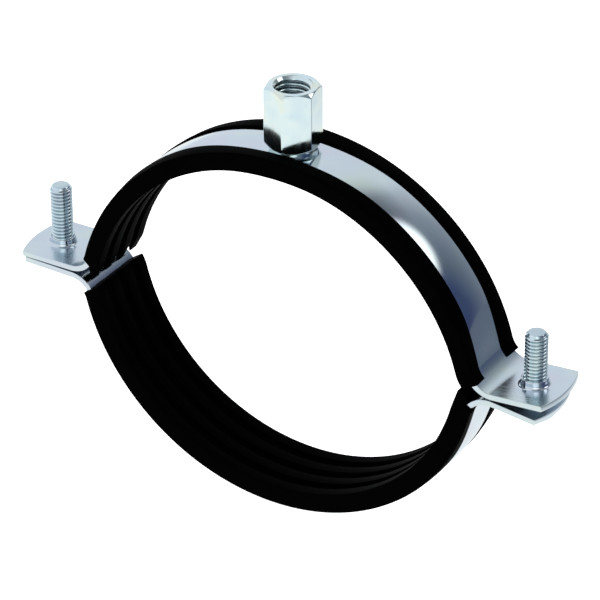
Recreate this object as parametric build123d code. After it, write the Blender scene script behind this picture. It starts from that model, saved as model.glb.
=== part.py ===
from build123d import *
import os
from math import asin, cos, degrees, radians, sin, tan

# Rubber lined pipe clamp for a 110 mm pipe: two pressed steel half bands with ears, a rubber liner on
# each, a welded hexagon boss for the hanging rod, and two screws that draw the halves together.
# Origin: centre of the upper pipe seat. X runs along the ears, Y along the pipe, Z up through the boss.
# Millimetres and degrees.

LEFT, RIGHT = -1, 1

# Pipe seat and steel strip
pipe_diameter = 110.0
band_width = 20.0
band_thickness = 1.5
bend_radius = 6.2  # outer skin, where a half ring turns out into an ear
ear_end_radius = 26.0
ear_blank = 20.0  # flat length of an ear before its end is blanked round
closed_rise = 17.9  # the closed lower half stands this far above the place where both seats share a centre
closed_slide = -0.3  # and this far to the side, within the slack of its screw holes

# Rubber liner: a C-channel that wraps both edges of the strip, with three grooves on the pipe side
liner_width = 21.5
lip_thickness = 0.95
lip_width = 4.8
groove_depth = 1.0
groove_width = 2.7
groove_pitch = 6.0

# Upper liner's ends. A cut is drawn in side view as points (distance out from the half's centre,
# distance past the half ring's end). On the left only the base and side walls run on, straight.
upper_left_follows = 13.0  # degrees of the ear's bend that the whole section follows
upper_left_length = 8.0
upper_left_cut = ((62.0, 0.15), (57.68, 2.31), (54.6, 10.0))
upper_right_follows = 42.0
upper_right_cut = ((62.5, 2.6), (53.5, 5.0))
cut_reach = 14.0

# Lower liner's ends. On the right the base leaves the strip and stands up free as a straight tongue,
# while the lips and side walls follow the ear.
lower_left_follows = 19.0
tongue_leaves = 4.0
tongue_length = 5.35
lower_right_lips_follow = 20.0

# Screws, M6 x 20 with a pan head
screw_x = {LEFT: 71.8, RIGHT: 69.8}
screw_head_top = {LEFT: 7.75, RIGHT: 6.1}
screw_slot_turn = {LEFT: -75.0, RIGHT: 35.0}
screw_radius = 2.95
screw_length = 20.4
tip_chamfer_depth = 0.9
tip_flat_radius = 2.2
head_radius = 5.75
head_rim = 1.1
head_shoulder_radius = 4.6
head_shoulder = 2.75
head_crown_radius = 2.4
head_height = 3.6
slot_width = 1.3
slot_depth = 1.1
cross_length = 5.6
cross_depth = 2.2
ear_hole_radius = 3.6

# Threaded collars drawn up from the upper ears
collar_height = 1.9
collar_edge = 0.3
collar_rim_radius = 3.5
collar_waist = 0.6
collar_foot_radius = 4.4
collar_clearance = 0.05
collar_bore_length = 10.0
funnel_radius = 4.0
funnel_depth = 1.1

# Connection boss: M10, 13 mm across flats, on a short weld spigot
boss_across_flats = 13.0
boss_top = 76.2
boss_base = 59.85
boss_turn = 38.7
boss_chamfer_angle = 42.0
boss_chamfer_radius = 6.4
boss_blank_radius = 8.0
tap_radius = 4.25
mouth_radius = 5.15
thread_bottom = 61.2
spigot_radius = 5.0
spigot_sink = 0.3


class Half:
    """Sizes of one half, ring upwards, about the centre of its own seat. Pairs go by side."""

    def __init__(self, skin_radius, ear_height, liner_base, splay, reach):
        self.skin_radius = skin_radius  # half ring's outer skin
        self.ear_height = ear_height  # ear's outer skin above the centre
        self.liner_base = liner_base  # rubber between pipe and steel, ribs included
        self.splay = splay  # degrees by which the screw has pulled each ear away from its mate
        self.reach = reach  # ear's end from the centre
        centre_distance = skin_radius + bend_radius
        self.bend_z = ear_height + bend_radius
        self.ring_end = degrees(asin(self.bend_z / centre_distance))  # above the half's centre line
        self.bend_x = centre_distance * cos(radians(self.ring_end))


upper_half = Half(
    skin_radius=pipe_diameter / 2 + 2.35 + band_thickness,
    ear_height=11.3,
    liner_base=2.35,
    splay={LEFT: 0.0, RIGHT: 4.0},
    reach={LEFT: 79.9, RIGHT: 78.6},
)
lower_half = Half(
    skin_radius=58.3,
    ear_height=10.05,
    liner_base=2.95,
    splay={LEFT: -1.4, RIGHT: 7.0},
    reach={LEFT: 78.9, RIGHT: 77.1},
)


def ring_point(half, depth, angle):
    """Point on the half ring, angle in degrees from +X. Depth goes from the outer skin to the pipe."""
    r = half.skin_radius - depth
    return (r * cos(radians(angle)), r * sin(radians(angle)))


def heading(half, past):
    """Slope above the horizontal, in radians, of an ear's bend, past degrees from the ring's end."""
    return radians(past + half.ring_end - 90)


def bend_point(half, side, depth, past):
    """Point of an ear's bend, past degrees on from the half ring's end."""
    slope = heading(half, past)
    r = bend_radius + depth
    return (side * (half.bend_x + r * sin(slope)), half.bend_z - r * cos(slope))


def straight_on(half, side, depth, past, length):
    """Point reached from an ear's bend by going straight on at that place."""
    x, z = bend_point(half, side, depth, past)
    slope = heading(half, past)
    return (x + side * length * cos(slope), z + length * sin(slope))


def full_turn(half, side):
    """Degrees of bend from the half ring's end to the flat of the ear."""
    return 90 - half.ring_end + half.splay[side]


def bend_arc(half, side, depth, start, end):
    middle = (start + end) / 2
    return ThreePointArc(*[bend_point(half, side, depth, past) for past in (start, middle, end)])


def ring_arc(half, depth):
    """The half ring's arc, from left to right over the top."""
    return ThreePointArc(
        *[ring_point(half, depth, angle) for angle in (180 - half.ring_end, 90, half.ring_end)]
    )


def skin(half, depth):
    """One skin of a half band, from the left ear's end over the half ring to the right ear's end."""
    left_turn = full_turn(half, LEFT)
    right_turn = full_turn(half, RIGHT)
    left_foot = bend_point(half, LEFT, depth, left_turn)
    right_foot = bend_point(half, RIGHT, depth, right_turn)
    return [
        Line(straight_on(half, LEFT, depth, left_turn, ear_blank), left_foot),
        bend_arc(half, LEFT, depth, left_turn, 0),
        ring_arc(half, depth),
        bend_arc(half, RIGHT, depth, 0, right_turn),
        Line(right_foot, straight_on(half, RIGHT, depth, right_turn, ear_blank)),
    ]


def half_band(half):
    """Half ring with two ears, ring upwards. The ears' ends are blanked to shallow arcs."""
    outer = skin(half, 0)
    inner = skin(half, band_thickness)
    closers = [Line(outer[0] @ 0, inner[0] @ 0), Line(outer[-1] @ 1, inner[-1] @ 1)]
    strip = extrude(Plane.XZ * make_face(outer + inner + closers), band_width / 2, both=True)
    edge = band_width / 2
    arc_depth = ear_end_radius - (ear_end_radius**2 - edge**2) ** 0.5
    left, right = -half.reach[LEFT], half.reach[RIGHT]
    blank = make_face(
        [
            Line((left + arc_depth, edge), (right - arc_depth, edge)),
            ThreePointArc((right - arc_depth, edge), (right, 0), (right - arc_depth, -edge)),
            Line((right - arc_depth, -edge), (left + arc_depth, -edge)),
            ThreePointArc((left + arc_depth, -edge), (left, 0), (left + arc_depth, edge)),
        ]
    )
    return strip & extrude(blank, pipe_diameter, both=True)


def lower_place(shape):
    """Turn a half over and set it at the closed lower half's place."""
    return Pos(closed_slide, 0, closed_rise) * mirror(shape, about=Plane.XY)


def ear_skin_height(side):
    """Height of an upper ear's outer skin at its screw."""
    foot_x, foot_z = bend_point(upper_half, RIGHT, 0, full_turn(upper_half, side))
    return foot_z + (screw_x[side] - foot_x) * tan(radians(upper_half.splay[side]))


def collar(side):
    """Flared collar on an upper ear, square to the ear: a short tube whose foot spreads into the plate."""
    half_section = Polyline(
        (0, -band_thickness / 2),
        (collar_foot_radius, -band_thickness / 2),
        (collar_foot_radius, 0),
        (collar_rim_radius, collar_waist),
        (collar_rim_radius, collar_height - collar_edge),
        (collar_rim_radius - collar_edge, collar_height),
        (0, collar_height),
        close=True,
    )
    body = revolve(Plane.XZ * make_face(half_section), Axis.Z)
    place = Pos(side * screw_x[side], 0, ear_skin_height(side))
    return place * Rot(0, -side * upper_half.splay[side], 0) * body


def collar_bore(side):
    """The collar's upright screw hole, with the funnel that drawing leaves under the ear."""
    radius = screw_radius + collar_clearance
    base = (Align.CENTER, Align.CENTER, Align.MIN)
    hole = Cylinder(radius, collar_bore_length)
    funnel = Cone(funnel_radius, radius, funnel_depth, align=base)
    flare = Cylinder(funnel_radius, band_thickness, align=(Align.CENTER, Align.CENTER, Align.MAX))
    underside = ear_skin_height(side) - band_thickness
    return Pos(side * screw_x[side], 0, underside) * (hole + funnel + flare)


def upper_band():
    """Upper half band with its two drawn and tapped collars."""
    part = half_band(upper_half)
    for side in (LEFT, RIGHT):
        part = part + collar(side)
        part = part - collar_bore(side)
    return part


def lower_band():
    """Lower half band with a clearance hole in each ear."""
    part = lower_place(half_band(lower_half))
    for side in (LEFT, RIGHT):
        part = part - Pos(side * screw_x[side], 0, 0) * Cylinder(ear_hole_radius, band_width * 2)
    return part


def liner_section(half):
    """Rubber profile, X across the strip and Y outwards from the strip's outer skin."""
    height = lip_thickness + band_thickness + half.liner_base
    floor = -band_thickness - half.liner_base
    body = Pos(0, floor + height / 2) * Rectangle(liner_width, height)
    body -= Pos(0, -band_thickness / 2) * Rectangle(band_width, band_thickness)
    mouth = liner_width - 2 * lip_width
    body -= Pos(0, lip_thickness / 2) * Rectangle(mouth, lip_thickness)
    for step in (-1, 0, 1):
        body -= Pos(step * groove_pitch, floor + groove_depth / 2) * Rectangle(groove_width, groove_depth)
    return body


def layers(half, top, bottom):
    """The part of the liner's profile between two heights above the strip's outer skin."""
    return liner_section(half) & (Pos(0, (top + bottom) / 2) * Rectangle(liner_width, top - bottom))


def carried(section, *path):
    """Carry a section along tangent lines and arcs in the XZ plane, from left to right."""
    wire = Wire([edge for line in path for edge in (Plane.XZ * line).edges()])
    start = Plane(origin=wire @ 0, x_dir=(0, 1, 0), z_dir=wire % 0)
    return sweep(start * section, path=wire)


def beyond(half, side, cut):
    """Block past a liner's end. The cut's points run inwards, and its ends lie clear of the rubber."""
    end = radians(half.ring_end)
    points = [*cut, (cut[-1][0], cut_reach), (cut[0][0], cut_reach)]
    outline = [
        (side * (out * cos(end) + along * sin(end)), out * sin(end) - along * cos(end))
        for out, along in points
    ]
    return extrude(Plane.XZ * make_face(Polyline(*outline, close=True)), liner_width, both=True)


def upper_liner():
    """Rubber on the upper band, its right end cut square and its left end on a long slant."""
    half = upper_half
    bottom = -band_thickness - half.liner_base
    leaving = bend_point(half, LEFT, 0, upper_left_follows)
    part = carried(
        liner_section(half),
        bend_arc(half, LEFT, 0, upper_left_follows, 0),
        ring_arc(half, 0),
        bend_arc(half, RIGHT, 0, 0, upper_right_follows),
    )
    tail_end = straight_on(half, LEFT, 0, upper_left_follows, upper_left_length)
    part = part + carried(layers(half, 0, bottom), Line(tail_end, leaving))
    return part - beyond(half, LEFT, upper_left_cut) - beyond(half, RIGHT, upper_right_cut)


def lower_liner():
    """Rubber on the lower band, with a free standing tongue at its right end."""
    half = lower_half
    bottom = -band_thickness - half.liner_base
    leaving = bend_point(half, RIGHT, 0, tongue_leaves)
    part = carried(
        liner_section(half),
        bend_arc(half, LEFT, 0, lower_left_follows, 0),
        ring_arc(half, 0),
        bend_arc(half, RIGHT, 0, 0, tongue_leaves),
    )
    tongue_end = straight_on(half, RIGHT, 0, tongue_leaves, tongue_length)
    part = part + carried(layers(half, -band_thickness, bottom), Line(leaving, tongue_end))
    wrap = layers(half, lip_thickness, -band_thickness)
    part = part + carried(wrap, bend_arc(half, RIGHT, 0, tongue_leaves, lower_right_lips_follow))
    return lower_place(part)


def connection_boss():
    """Hexagon boss, both ends chamfered, with a blind threaded hole and a short weld spigot."""
    hexagon = RegularPolygon(boss_across_flats / 2, 6, major_radius=False, rotation=boss_turn)
    body = Pos(0, 0, boss_base) * extrude(hexagon, boss_top - boss_base)
    drop = (boss_blank_radius - boss_chamfer_radius) * tan(radians(boss_chamfer_angle))
    outline = Polyline(
        (0, boss_base),
        (boss_chamfer_radius, boss_base),
        (boss_blank_radius, boss_base + drop),
        (boss_blank_radius, boss_top - drop),
        (boss_chamfer_radius, boss_top),
        (0, boss_top),
        close=True,
    )
    body &= revolve(Plane.XZ * make_face(outline), Axis.Z)
    spigot_foot = upper_half.skin_radius - spigot_sink
    spigot = Cylinder(
        spigot_radius, thread_bottom - spigot_foot, align=(Align.CENTER, Align.CENTER, Align.MIN)
    )
    body += Pos(0, 0, spigot_foot) * spigot
    body -= Rot(90, 0, 0) * Cylinder(upper_half.skin_radius, band_width)
    flare = mouth_radius - tap_radius
    hole = Polyline(
        (0, boss_top + flare),
        (mouth_radius + flare, boss_top + flare),
        (tap_radius, boss_top - flare),
        (tap_radius, thread_bottom),
        (0, thread_bottom),
        close=True,
    )
    return body - revolve(Plane.XZ * make_face(hole), Axis.Z)


def screw(side):
    """Pan head screw, head down, with a slot and cross recess. The thread is a plain cylinder."""
    outline = Polyline(
        (0, screw_length),
        (tip_flat_radius, screw_length),
        (screw_radius, screw_length - tip_chamfer_depth),
        (screw_radius, 0),
        (head_radius, 0),
        (head_radius, -head_rim),
        (head_shoulder_radius, -head_shoulder),
        (head_crown_radius, -head_height),
        (0, -head_height),
        close=True,
    )
    body = revolve(Plane.XZ * make_face(outline), Axis.Z)
    base = (Align.CENTER, Align.CENTER, Align.MIN)
    slot = Box(2 * head_radius, slot_width, slot_depth, align=base)
    cross = Box(cross_length, slot_width, cross_depth, align=base)
    drive = slot + cross + Rot(0, 0, 90) * cross
    body -= Pos(0, 0, -head_height) * Rot(0, 0, screw_slot_turn[side]) * drive
    return Pos(side * screw_x[side], 0, screw_head_top[side]) * body


pieces = {
    "upper_band": upper_band(),
    "lower_band": lower_band(),
    "upper_liner": upper_liner(),
    "lower_liner": lower_liner(),
    "connection_boss": connection_boss(),
    "left_screw": screw(LEFT),
    "right_screw": screw(RIGHT),
}

os.makedirs("parts", exist_ok=True)
for name, piece in pieces.items():
    piece.label = name
    export_step(piece, f"parts/{name}.step")
    box = piece.bounding_box()
    print(name, f"{piece.volume / 1000:.2f} cm3", box.min, box.max)
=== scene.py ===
from math import asin, atan2, cos, pi, radians, sin, tan

import bmesh
import bpy
import numpy as np
from mathutils import Matrix, Vector


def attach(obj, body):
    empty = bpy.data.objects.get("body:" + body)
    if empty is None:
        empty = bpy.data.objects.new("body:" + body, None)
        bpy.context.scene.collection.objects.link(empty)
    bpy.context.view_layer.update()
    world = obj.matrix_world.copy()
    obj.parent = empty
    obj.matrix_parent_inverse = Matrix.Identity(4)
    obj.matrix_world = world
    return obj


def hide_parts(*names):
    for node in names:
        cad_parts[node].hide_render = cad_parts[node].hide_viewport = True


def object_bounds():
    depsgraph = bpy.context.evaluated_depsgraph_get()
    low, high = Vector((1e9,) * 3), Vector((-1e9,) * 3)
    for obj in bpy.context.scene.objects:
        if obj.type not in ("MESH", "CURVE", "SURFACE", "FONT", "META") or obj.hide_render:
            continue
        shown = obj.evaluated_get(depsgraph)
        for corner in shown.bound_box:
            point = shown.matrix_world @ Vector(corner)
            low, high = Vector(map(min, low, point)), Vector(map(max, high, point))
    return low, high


# Rubber lined pipe clamp: the finished look of two pressed steel half bands, their rubber liners, the
# welded hexagon boss and the two screws. Shapes are worked out in millimetres and put into the meshes in
# metres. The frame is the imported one: X along the ears, Y along the pipe, Z up through the boss.

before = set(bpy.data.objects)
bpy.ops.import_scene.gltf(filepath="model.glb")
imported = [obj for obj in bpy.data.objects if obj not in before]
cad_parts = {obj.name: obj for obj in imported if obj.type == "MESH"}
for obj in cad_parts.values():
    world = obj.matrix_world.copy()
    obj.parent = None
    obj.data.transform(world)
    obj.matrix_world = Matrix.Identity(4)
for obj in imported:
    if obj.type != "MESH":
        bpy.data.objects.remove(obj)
cad_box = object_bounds()

METRES = 0.001  # one millimetre

# Steel strip and its forming
BAND_WIDTH = 20.0
BAND_THICKNESS = 1.5
BEND_RADIUS = 6.2  # outer skin, where the half ring turns out into an ear
CLOSED_RISE = 17.9  # height of the closed lower half's own centre
CLOSED_SLIDE = -0.3  # and its place along X
EAR_END_RADIUS = 26.0
EAR_CORNER_RADIUS = 0.35
EDGE_ROUNDING = 0.16
EDGE_SUPPORT = 0.06  # ring of faces beside the rounding, which keeps the skins flat
CROWN_FADE = 17.0  # length over which the half ring's arched section flattens towards an ear
WELD_FLAT = 3.0  # half length of the flat under the boss
WELD_FADE = 26.0
RUBBER_SAG = 0.4  # how far the upper liner's pipe side hangs below the boss
SAG_LENGTH = 13.0

# Collars drawn up from the upper ears, and the holes in the lower ones
SCREW_X = {-1: 71.8, 1: 69.8}
COLLAR_HEIGHT = 1.9
COLLAR_RIM_RADIUS = 3.5
COLLAR_BASE_RADIUS = 4.4
COLLAR_BORE_RADIUS = 3.0
FUNNEL_RADIUS = 4.0
FUNNEL_DEPTH = 1.1
EAR_HOLE_RADIUS = 3.6

# Burnish of the strip, a share from 0 on the flat ears to 1 on the drawn collars
RING_BURNISH = 0.75
BAND_RING_END = 61.0  # distance from the middle at which the half ring's burnish has faded out
RING_BURNISH_FADE = 4.0
COLLAR_BURNISH_FADE = 0.5

# Rubber profile. Depths are measured from the strip's outer skin, towards the pipe.
LINER_WIDTH = 21.5
LIP_MOUTH = {-1: 6.5, 1: 6.2}  # tips of the front and the rear lip, from the middle
GROOVE_DEPTH = 1.0
GROOVE_WIDTH = 2.7
GROOVE_PITCH = 6.0
POCKET_GAP = 0.01
BASE_CORNER_RADIUS = 0.2
RIB_RADIUS = 0.18
RIB_ROOT_RADIUS = 0.25
LIP_RADIUS = 0.42
LIP_TIP_RADIUS = 0.15

# Ends of the liners. FOLLOWS is how many degrees of the ear's bend the rubber follows before it stands
# straight off it. A cut is drawn in side view as points (distance out from the half's centre, distance
# past the half ring's end).
UPPER_LEFT_FOLLOWS = 13.0
UPPER_LEFT_CUT = ((54.6, 10.0), (57.68, 2.31), (62.0, 0.15))
UPPER_RIGHT_FOLLOWS = 42.0
UPPER_RIGHT_CUT = ((53.5, 5.0), (62.5, 2.6))
LOWER_LEFT_FOLLOWS = 19.0
TONGUE_LEAVES = 4.0
TONGUE_LENGTH = 5.35
LOWER_RIGHT_LIPS_FOLLOW = 20.0

# Screws
SOFT_EDGE = 0.07  # softness of the edges of heads and boss
SCREW_RADIUS = 2.95
SCREW_LENGTH = 20.4
HEAD_TOP = {-1: 7.75, 1: 6.1}  # height of the bearing face of each head, which hangs down from there
SLOT_TURN = {-1: -75.0, 1: 35.0}
SCREW_PITCH = 1.0
THREAD_DEPTH = 0.56
SCREW_RUN_OUT = 1.2
TIP_CHAMFER = 0.9
TIP_RADIUS = 2.2
TIP_EDGE = 0.08
# groove share of the screw's sheared tip, which darkens it towards GROOVE_TONE
TIP_DARKENING = 0.5
HEAD_RADIUS = 5.75
HEAD_HEIGHT = 3.6
HEAD_RIM = 1.1
HEAD_EDGE = 0.25
HEAD_TAPER = 0.58  # share of its radius that the head loses from its rim to its flat face
SCREW_SHARP_ANGLE = 38.0
SLOT_WIDTH = 1.3
SLOT_DEPTH = 1.1
CROSS_LENGTH = 5.6
CROSS_DEPTH = 2.2

# Connection boss
BOSS_ACROSS_FLATS = 13.0
BOSS_TOP = 76.2
BOSS_BASE = 59.85
BOSS_TURN = 38.7
BOSS_CORNER_RADIUS = 0.35
BOSS_CHAMFER_ANGLE = 42.0
BOSS_CHAMFER_RADIUS = 6.4
TAP_RADIUS = 4.25
TAP_PITCH = 1.5
TAP_DEPTH = 0.82
MOUTH_RADIUS = 5.15
THREAD_BOTTOM = 61.2
SPIGOT_RADIUS = 5.0
SPIGOT_SINK = 0.3

# Each half, ring upwards about its own centre: outer skin of the half ring, outer skin of the ears,
# rubber between pipe and steel, each ear's splay away from its mate, each ear's reach, the arch of the
# strip across its width, and the thickness of the front and the rear lip at the root and the tip. Where a
# value is kept per side, -1 is the left or the front and 1 is the right or the rear.
UPPER_HALF = {"skin_radius": 58.85, "ear_height": 11.3, "liner_base": 2.35,
              "splay": {-1: 0.0, 1: 4.0}, "reach": {-1: 79.9, 1: 78.6}, "lower": False,
              "crown": 1.4, "lips": {-1: (1.0, 0.75), 1: (1.1, 0.6)}}
LOWER_HALF = {"skin_radius": 58.3, "ear_height": 10.05, "liner_base": 2.95,
              "splay": {-1: -1.4, 1: 7.0}, "reach": {-1: 78.9, 1: 77.1}, "lower": True,
              "crown": 1.3, "lips": {-1: (0.95, 0.4), 1: (0.5, 0.3)}}


# ---------------------------------------------------------------- meshes

class Shell:
    """Collects grids and polygons of points in millimetres and welds them into one closed mesh."""

    def __init__(self):
        self.points = []
        self.flat = []
        self.faces = []
        self.polygons = []
        self.count = 0

    def grid(self, points, flat=None):
        """Quads between neighbours of a rows x columns array of points."""
        rows, columns = points.shape[:2]
        index = np.arange(rows * columns).reshape(rows, columns) + self.count
        quads = np.stack([index[:-1, :-1], index[1:, :-1], index[1:, 1:], index[:-1, 1:]], axis=-1)
        self.faces.append(quads.reshape(-1, 4))
        self._keep(points, flat)

    def polygon(self, points, flat=None):
        """One flat face through a loop of points."""
        self.polygons.append(np.arange(len(points)) + self.count)
        self._keep(points, flat)

    def _keep(self, points, flat):
        self.points.append(points.reshape(-1, 3))
        self.flat.append((points if flat is None else flat).reshape(-1, 3))
        self.count += points.reshape(-1, 3).shape[0]

    def mesh(self, name, sharp=40.0):
        """The welded mesh in metres, faces outward, smooth except across edges sharper than sharp."""
        points = np.concatenate(self.points)
        flat = np.concatenate(self.flat)
        _, first, where = np.unique(np.round(points * 2e4), axis=0, return_index=True, return_inverse=True)
        where = where.ravel()
        quads = where[np.concatenate(self.faces)] if self.faces else np.zeros((0, 4), int)
        faces = [list(dict.fromkeys(face)) for face in quads.tolist()]
        faces += [list(dict.fromkeys(where[polygon].tolist())) for polygon in self.polygons]
        faces = [face for face in faces if len(face) > 2]
        made = bpy.data.meshes.new(name)
        made.from_pydata((points[first] * METRES).tolist(), [], faces)
        layer = made.attributes.new("flat", "FLOAT_VECTOR", "POINT")
        layer.data.foreach_set("vector", flat[first].astype(np.float32).ravel())
        work = bmesh.new()
        work.from_mesh(made)
        bmesh.ops.recalc_face_normals(work, faces=work.faces[:])
        work.to_mesh(made)
        work.free()
        made.shade_smooth()
        made.set_sharp_from_angle(angle=radians(sharp))
        return made


def points_of(mesh):
    """The mesh's points in millimetres."""
    points = np.zeros(len(mesh.vertices) * 3)
    mesh.vertices.foreach_get("co", points)
    return points.reshape(-1, 3) / METRES


def from_axis(points, x):
    """Distance of points from the upright axis at x."""
    return np.hypot(points[:, 0] - x, points[:, 1])


def mark(mesh, name, share):
    """Keep a share from 0 to 1 per point, for the materials."""
    layer = mesh.attributes.new(name, "FLOAT", "POINT")
    layer.data.foreach_set("value", np.clip(share, 0, 1).astype(np.float32))
    return mesh


def mark_strip(mesh, collars):
    """How burnished the strip is: 1 on the drawn collars, RING_BURNISH round the half ring, 0 on the ears."""
    points = points_of(mesh)
    ring = RING_BURNISH * np.clip((BAND_RING_END - np.abs(points[:, 0])) / RING_BURNISH_FADE, 0, 1)
    if not collars:
        return mark(mesh, "burnish", ring)
    away = np.minimum(*(from_axis(points, side * SCREW_X[side]) for side in (-1, 1)))
    drawn = (COLLAR_BASE_RADIUS + COLLAR_BURNISH_FADE - away) / COLLAR_BURNISH_FADE
    return mark(mesh, "burnish", np.maximum(ring, drawn))


def mark_screw(mesh, side):
    """Painted shade in the screw's thread roots, as a groove share: 0 on the thread's crests, 1 in its roots,
    and TIP_DARKENING on the sheared tip, which darkens it.
    """
    points = points_of(mesh)
    radius = from_axis(points, side * SCREW_X[side])
    up = points[:, 2] - HEAD_TOP[side]
    root = (SCREW_RADIUS - radius) / THREAD_DEPTH
    threaded = (up > SCREW_RUN_OUT / 2) & (up < SCREW_LENGTH - TIP_CHAMFER)
    tip = (up > SCREW_LENGTH - 0.3) & (radius < TIP_RADIUS + 0.01)
    return mark(mesh, "groove", np.where(threaded, root, 0.0) + np.where(tip, TIP_DARKENING, 0.0))


def mark_boss(mesh):
    """Painted shade in the boss's thread roots, as a groove share: 0 outside and on its thread's crests, 1 in
    the thread's roots.
    """
    points = points_of(mesh)
    radius, height = from_axis(points, 0.0), points[:, 2]
    inside = radius < TAP_RADIUS + TAP_DEPTH + 0.01
    below_mouth = (height > THREAD_BOTTOM - 0.1) & (height < BOSS_TOP - 0.9)
    root = (radius - TAP_RADIUS) / TAP_DEPTH
    return mark(mesh, "groove", np.where(inside & below_mouth, root, 0.0))


def add_piece(name, mesh, material, body, slot, *nodes):
    """Put a mesh in the scene as a piece that rides on a body and stands for CAD nodes."""
    piece = bpy.data.objects.new(name, mesh)
    bpy.context.scene.collection.objects.link(piece)
    mesh.materials.clear()
    mesh.materials.append(material)
    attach(piece, body)
    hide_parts(*nodes)


# ---------------------------------------------------------------- the formed strip

def forming(half, side):
    """One side of a half: ring length, bend length, the bend's centre in X and Z, start angle, splay.

    The bend's circle touches the half ring's from outside, so its centre lies at the sum of both radii,
    BEND_RADIUS above the ear. The start angle is where the two circles touch, above the horizontal.
    """
    centre_z = half["ear_height"] + BEND_RADIUS
    reach = half["skin_radius"] + BEND_RADIUS
    tangent = asin(centre_z / reach)
    splay = radians(half["splay"][side])
    ring = half["skin_radius"] * (pi / 2 - tangent)
    bend = BEND_RADIUS * (pi / 2 - tangent + splay)
    return ring, bend, reach * cos(tangent), centre_z, tangent, splay


def smooth(share):
    """Ease from 0 to 1: 3 t^2 - 2 t^3 of the share, held between 0 and 1."""
    share = np.clip(share, 0, 1)
    return share * share * (3 - 2 * share)


def crown(half, along, across):
    """Rise of the strip's arched section: a parabola, 1 - (2 y / w)^2 over the liner's width w.

    It fades out before the ears and, on the upper half, under the welded boss.
    """
    ring = min(forming(half, side)[0] for side in (-1, 1))
    rise = half["crown"] * smooth((ring - np.abs(along)) / CROWN_FADE)
    if not half["lower"]:
        rise = rise * smooth((np.abs(along) - WELD_FLAT) / WELD_FADE)
    return rise * (1 - (2 * across / LINER_WIDTH) ** 2)


def carry(half, along, across, depth, follows=None):
    """Points of the formed strip from its flat pattern.

    along is the length on the outer skin from the top centre, positive to the right, across is Y and
    depth is measured inwards from the outer skin. The line is the half ring's circle, then a counter
    bend of BEND_RADIUS about its own centre, then the straight ear at its splay. With follows, in
    degrees, the line goes straight on after that much of the bend. The crown lifts the steel and the
    lips on it, and dies out through the rubber towards the pipe. The sag does the reverse.
    """
    along, across, depth = np.broadcast_arrays(*[np.asarray(a, float) for a in (along, across, depth)])
    steel = np.clip(1 + (BAND_THICKNESS - depth) / half["liner_base"], 0, 1)
    depth = depth - crown(half, along, across) * steel
    if not half["lower"]:
        depth = depth + RUBBER_SAG * np.exp(-(along / SAG_LENGTH) ** 2) * (1 - steel)
    x = np.zeros(along.shape)
    z = np.zeros(along.shape)
    radius = half["skin_radius"]
    for side in (-1, 1):
        ring, bend, centre_x, centre_z, tangent, _ = forming(half, side)
        if follows is not None:
            bend = BEND_RADIUS * radians(follows)
        length = np.abs(along)
        turn = length / radius
        heading = tangent - pi / 2 + np.clip(length - ring, 0, bend) / BEND_RADIUS
        last = tangent - pi / 2 + bend / BEND_RADIUS
        beyond = np.clip(length - ring - bend, 0, None)
        bent_x = centre_x + (BEND_RADIUS + depth) * np.sin(heading) + beyond * cos(last)
        bent_z = centre_z - (BEND_RADIUS + depth) * np.cos(heading) + beyond * sin(last)
        on_ring = length <= ring
        here = (along < 0) if side < 0 else (along >= 0)
        x = np.where(here, side * np.where(on_ring, (radius - depth) * np.sin(turn), bent_x), x)
        z = np.where(here, np.where(on_ring, (radius - depth) * np.cos(turn), bent_z), z)
    if half["lower"]:
        x = x + CLOSED_SLIDE
        z = CLOSED_RISE - z
    return np.stack([x, across, z], axis=-1)


def ear_length(half, side, x):
    """Length along the outer skin at which an ear reaches x from the centre."""
    ring, bend, centre_x, _, _, splay = forming(half, side)
    return ring + bend + (x - centre_x - BEND_RADIUS * sin(splay)) / cos(splay)


def ear_outline(half, side, start):
    """Outline of an ear in the flat pattern, and its outward normals, from the front edge to the rear.

    Two straight edges, an end arc of EAR_END_RADIUS and a small arc at each corner.
    """
    half_width = BAND_WIDTH / 2
    inner = half_width - EAR_CORNER_RADIUS
    centre = half["reach"][side] - EAR_END_RADIUS
    spread = asin(inner / (EAR_END_RADIUS - EAR_CORNER_RADIUS))
    corner = centre + (EAR_END_RADIUS - EAR_CORNER_RADIUS) * cos(spread)
    edge_x = np.linspace(start, corner, 26)[:-1]
    front = np.stack([edge_x, np.full_like(edge_x, -half_width)], axis=-1)
    turn = np.linspace(-pi / 2, -spread, 7)[:-1]
    turned = np.stack([np.cos(turn), np.sin(turn)], axis=-1)
    nose = np.array([corner, -inner]) + EAR_CORNER_RADIUS * turned
    sweep = np.linspace(-spread, spread, 61)
    swept = np.stack([np.cos(sweep), np.sin(sweep)], axis=-1)
    end = np.array([centre, 0.0]) + EAR_END_RADIUS * swept
    half_points = np.concatenate([front, nose])
    half_normals = np.concatenate([np.tile([0.0, -1.0], (len(front), 1)), turned])
    mirror = np.array([1.0, -1.0])
    points = np.concatenate([half_points, end, half_points[::-1] * mirror])
    normals = np.concatenate([half_normals, swept, half_normals[::-1] * mirror])
    points[:, 0] = side * ear_length(half, side, points[:, 0])
    normals[:, 0] *= side
    return points, normals


def edge_profile():
    """Inset and depth of the rounded edge of the strip, from its outer to its inner skin."""
    turn = np.linspace(0, pi / 2, 5)
    inset = EDGE_ROUNDING * (1 - np.sin(turn))
    depth = EDGE_ROUNDING * (1 - np.cos(turn))
    support = [EDGE_ROUNDING + EDGE_SUPPORT]
    inset = np.concatenate([support, inset, inset[::-1], support])
    depth = np.concatenate([[0.0], depth, BAND_THICKNESS - depth[::-1], [BAND_THICKNESS]])
    return inset, depth


def strip_points(half, along, across, depth):
    """Strip points, and their place in the flat pattern."""
    along, across, depth = np.broadcast_arrays(*[np.asarray(a, float) for a in (along, across, depth)])
    return carry(half, along, across, depth), np.stack([along, across, depth], axis=-1)


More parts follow.
